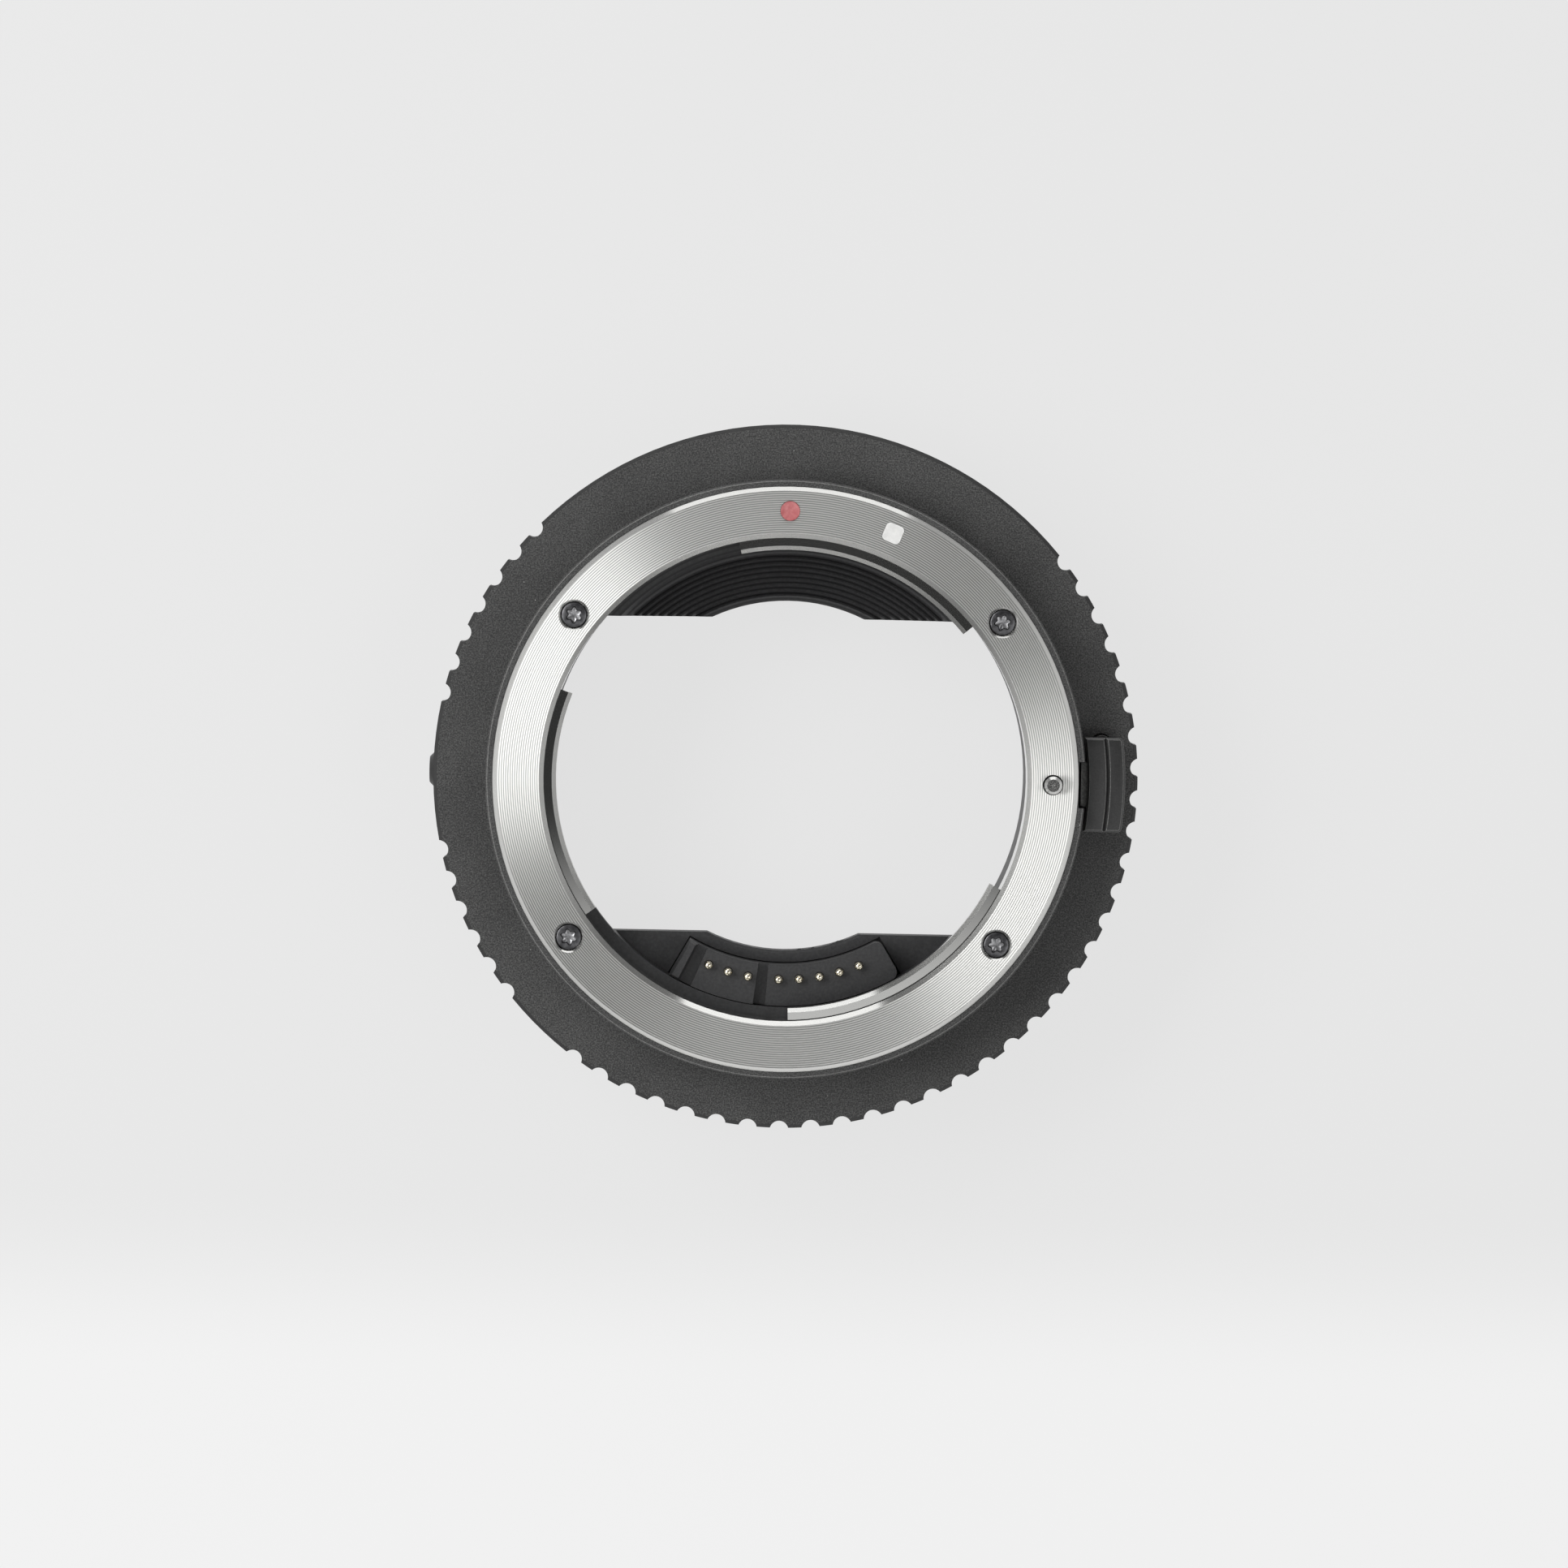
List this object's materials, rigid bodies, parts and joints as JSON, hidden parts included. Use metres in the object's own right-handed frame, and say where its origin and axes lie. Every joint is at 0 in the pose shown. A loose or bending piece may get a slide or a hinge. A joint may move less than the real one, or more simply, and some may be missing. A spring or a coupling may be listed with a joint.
{
  "type": "lens mount adapter",
  "caption": "short black ring that joins a lens to a camera body: chromed bayonet with sprung contacts and a release lever in front, a smaller bayonet with contact pads behind",
  "frame": {"origin": "on the optical axis, in the plane of the rear seat that meets the camera", "axes": "+Z along the optical axis to the lens, +Y to the red index dot, +X to the lens release lever"},
  "size_m": [0.0798, 0.0792, 0.0234],
  "materials": {
    "black_anodised": "bead-blasted, black anodised",
    "mount_chrome": "turned brass with hard chrome, fine turning lines",
    "screw_steel": "dark plated steel",
    "pin_steel": "ground steel",
    "spring_steel": "rolled spring steel",
    "lever_black": "smooth black anodised",
    "baffle_plastic": "matt black moulding",
    "switch_plastic": "black moulding",
    "board_green": "glass-fibre board with green mask",
    "contact_gold": "gold plated",
    "red_enamel": "red enamel fill",
    "white_enamel": "white enamel fill"
  },
  "bodies": {
    "adapter_body": {"barrel": "black_anodised", "camera_index_dot": "red_enamel", "lens_mount_ring": "mount_chrome", "lens_mount_screws": "screw_steel", "red_index_dot": "red_enamel", "white_index_mark": "white_enamel", "release_spring": "spring_steel", "button_switch": "switch_plastic", "lens_contact_block": "baffle_plastic", "light_baffle": "baffle_plastic", "circuit_board": "board_green", "control_chip": "switch_plastic", "board_screws": "screw_steel", "camera_mount_ring": "mount_chrome", "camera_mount_screws": "screw_steel", "rear_cover": "baffle_plastic", "rear_cover_screws": "screw_steel", "camera_contact_pads": "contact_gold"},
    "lens_release": {"locking_pin": "pin_steel", "release_lever": "lever_black", "release_carrier": "spring_steel", "release_screws": "screw_steel"},
    "button": {"function_button": "lever_black"},
    "contact_1": {"lens_contact_pin_1": "contact_gold"},
    "contact_2": {"lens_contact_pin_2": "contact_gold"},
    "contact_3": {"lens_contact_pin_3": "contact_gold"},
    "contact_4": {"lens_contact_pin_4": "contact_gold"},
    "contact_5": {"lens_contact_pin_5": "contact_gold"},
    "contact_6": {"lens_contact_pin_6": "contact_gold"},
    "contact_7": {"lens_contact_pin_7": "contact_gold"},
    "contact_8": {"lens_contact_pin_8": "contact_gold"}
  },
  "joints": [
    {"name": "release_press", "type": "slide", "parent": "adapter_body", "child": "lens_release", "axis": [0, 0, -1], "range_m": [0, 0.0018], "stiffness_N_per_m": 500, "springref_m": -0.004, "deforming": ["release_spring"]},
    {"name": "button_press", "type": "slide", "parent": "adapter_body", "child": "button", "axis": [1, 0, 0], "range_m": [0, 0.0004], "stiffness_N_per_m": 1000, "springref_m": -0.001},
    {"name": "contact_1_press", "type": "slide", "parent": "adapter_body", "child": "contact_1", "axis": [0, 0, -1], "range_m": [0, 0.0008], "stiffness_N_per_m": 300, "springref_m": -0.0008},
    {"name": "contact_2_press", "type": "slide", "parent": "adapter_body", "child": "contact_2", "axis": [0, 0, -1], "range_m": [0, 0.0008], "stiffness_N_per_m": 300, "springref_m": -0.0008},
    {"name": "contact_3_press", "type": "slide", "parent": "adapter_body", "child": "contact_3", "axis": [0, 0, -1], "range_m": [0, 0.0008], "stiffness_N_per_m": 300, "springref_m": -0.0008},
    {"name": "contact_4_press", "type": "slide", "parent": "adapter_body", "child": "contact_4", "axis": [0, 0, -1], "range_m": [0, 0.0008], "stiffness_N_per_m": 300, "springref_m": -0.0008},
    {"name": "contact_5_press", "type": "slide", "parent": "adapter_body", "child": "contact_5", "axis": [0, 0, -1], "range_m": [0, 0.0008], "stiffness_N_per_m": 300, "springref_m": -0.0008},
    {"name": "contact_6_press", "type": "slide", "parent": "adapter_body", "child": "contact_6", "axis": [0, 0, -1], "range_m": [0, 0.0008], "stiffness_N_per_m": 300, "springref_m": -0.0008},
    {"name": "contact_7_press", "type": "slide", "parent": "adapter_body", "child": "contact_7", "axis": [0, 0, -1], "range_m": [0, 0.0008], "stiffness_N_per_m": 300, "springref_m": -0.0008},
    {"name": "contact_8_press", "type": "slide", "parent": "adapter_body", "child": "contact_8", "axis": [0, 0, -1], "range_m": [0, 0.0008], "stiffness_N_per_m": 300, "springref_m": -0.0008}
  ]
}
